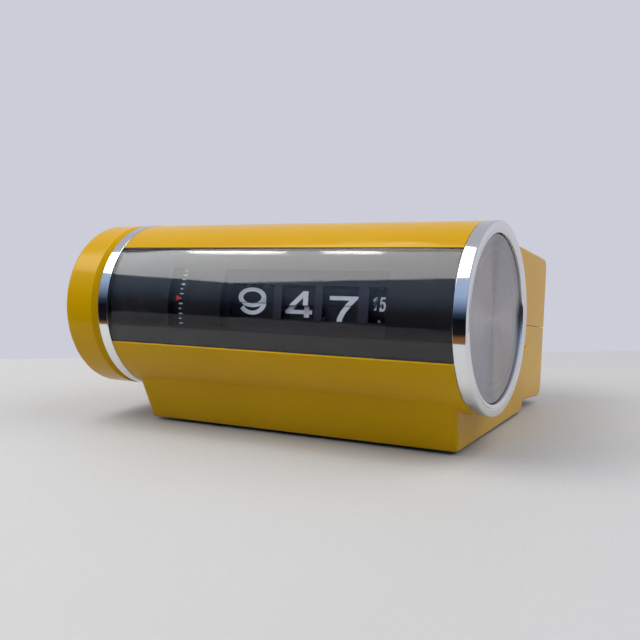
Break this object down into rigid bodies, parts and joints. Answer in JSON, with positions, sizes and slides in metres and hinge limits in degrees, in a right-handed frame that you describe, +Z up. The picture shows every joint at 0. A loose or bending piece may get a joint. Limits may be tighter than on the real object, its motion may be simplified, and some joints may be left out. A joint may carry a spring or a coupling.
{
  "type": "flip number clock",
  "caption": "Tube-shaped mains flip number clock with a smoked window, falling-leaf hour and minute drums, a seconds drum, an alarm dial and knob, and a rear housing on a level foot.",
  "frame": {"origin": "middle of the clock's footprint box, on the surface that it stands on", "axes": "+X to the viewer's right along the tube, +Y to the rear, +Z up; the viewer stands on the -Y side"},
  "size_m": [0.227, 0.183, 0.1067],
  "materials": {
    "case_yellow": "semi-gloss moulded ABS, mustard yellow",
    "black_plastic": "fine matt moulding",
    "rubber": "matt",
    "smoked_window": "smoked clear acrylic, polished",
    "chrome_ring": "bright plated",
    "spun_aluminium": "spun, circular brush lines",
    "steel": "plain",
    "brass": "satin"
  },
  "bodies": {
    "case": {"upper_case": "case_yellow", "lower_case": "case_yellow", "base_plate": "black_plastic", "foot_pad_1": "rubber", "foot_pad_2": "rubber", "foot_pad_3": "rubber", "foot_pad_4": "rubber", "smoked_window": "smoked_window", "display_mask": "black_plastic", "display_frame": "black_plastic", "left_ring": "chrome_ring", "right_ring": "chrome_ring", "end_disc": "spun_aluminium", "end_plate": "black_plastic", "cord_inlet": "rubber", "frame_plate_left": "steel", "frame_plate_middle": "steel", "frame_plate_right": "steel", "drum_shaft": "steel", "motor": "steel", "leaf_detent": "steel", "alarm_reed": "steel"},
    "alarm_knob": {"alarm_knob": "case_yellow", "alarm_dial": "black_plastic"},
    "time_set_knob": {"time_set_knob": "black_plastic"},
    "alarm_switch": {"alarm_switch": "black_plastic"},
    "motor_pinion": {"motor_pinion": "brass"},
    "seconds_drum": {"seconds_drum": "black_plastic", "seconds_gear": "brass"},
    "hour_drum": {"hour_drum": "black_plastic", "hour_leaf_2": "black_plastic", "hour_leaf_3": "black_plastic", "hour_leaf_4": "black_plastic", "hour_leaf_5": "black_plastic", "hour_leaf_6": "black_plastic", "hour_leaf_7": "black_plastic", "hour_leaf_8": "black_plastic", "hour_leaf_9": "black_plastic", "hour_leaf_10": "black_plastic", "hour_leaf_11": "black_plastic", "hour_leaf_12": "black_plastic"},
    "hour_falling_leaf": {"hour_leaf_1": "black_plastic"},
    "tens_drum": {"tens_drum": "black_plastic", "tens_leaf_2": "black_plastic", "tens_leaf_3": "black_plastic", "tens_leaf_4": "black_plastic", "tens_leaf_5": "black_plastic", "tens_leaf_6": "black_plastic"},
    "tens_falling_leaf": {"tens_leaf_1": "black_plastic"},
    "units_drum": {"units_drum": "black_plastic", "units_leaf_2": "black_plastic", "units_leaf_3": "black_plastic", "units_leaf_4": "black_plastic", "units_leaf_5": "black_plastic", "units_leaf_6": "black_plastic", "units_leaf_7": "black_plastic", "units_leaf_8": "black_plastic", "units_leaf_9": "black_plastic", "units_leaf_10": "black_plastic"},
    "units_falling_leaf": {"units_leaf_1": "black_plastic"}
  },
  "joints": [
    {"name": "seconds_turn", "type": "hinge", "parent": "case", "child": "seconds_drum", "pos_m": [0.00105, -0.06239, 0.06547], "axis": [1, 0, 0], "continuous": true},
    {"name": "motor_pinion_turn", "type": "hinge", "parent": "case", "child": "motor_pinion", "pos_m": [0.00105, -0.04383, 0.06283], "axis": [1, 0, 0], "continuous": true},
    {"name": "units_drum_turn", "type": "hinge", "parent": "case", "child": "units_drum", "pos_m": [0.00105, -0.07311, 0.06821], "axis": [1, 0, 0], "continuous": true},
    {"name": "tens_drum_turn", "type": "hinge", "parent": "case", "child": "tens_drum", "pos_m": [0.00105, -0.07311, 0.06821], "axis": [1, 0, 0], "continuous": true},
    {"name": "hour_drum_turn", "type": "hinge", "parent": "case", "child": "hour_drum", "pos_m": [0.00105, -0.07311, 0.06821], "axis": [1, 0, 0], "continuous": true},
    {"name": "hour_leaf_fall", "type": "hinge", "parent": "hour_drum", "child": "hour_falling_leaf", "pos_m": [-0.00005, -0.07739, 0.0692], "axis": [1, 0, 0], "range_deg": [0, 170]},
    {"name": "tens_leaf_fall", "type": "hinge", "parent": "tens_drum", "child": "tens_falling_leaf", "pos_m": [0.0263, -0.07729, 0.06957], "axis": [1, 0, 0], "range_deg": [0, 170]},
    {"name": "units_leaf_fall", "type": "hinge", "parent": "units_drum", "child": "units_falling_leaf", "pos_m": [0.04845, -0.07734, 0.06943], "axis": [1, 0, 0], "range_deg": [0, 170]},
    {"name": "alarm_knob_turn", "type": "hinge", "parent": "case", "child": "alarm_knob", "pos_m": [0.00105, -0.04656, 0.0617], "axis": [1, 0, 0], "continuous": true},
    {"name": "time_set_turn", "type": "hinge", "parent": "case", "child": "time_set_knob", "pos_m": [0.06305, 0.08341, 0.05936], "axis": [0, 0.99, -0.1409], "continuous": true},
    {"name": "alarm_switch_slide", "type": "slide", "parent": "case", "child": "alarm_switch", "axis": [0, 0.99, -0.1409], "range_m": [0, 0.004]}
  ],
  "couplings": [
    {"joint": "motor_pinion_turn", "follows": "seconds_turn", "ratio": -4},
    {"joint": "units_drum_turn", "follows": "seconds_turn", "ratio": 0.1},
    {"joint": "tens_drum_turn", "follows": "seconds_turn", "ratio": 0.016667},
    {"joint": "hour_drum_turn", "follows": "seconds_turn", "ratio": 0.0013889}
  ]
}
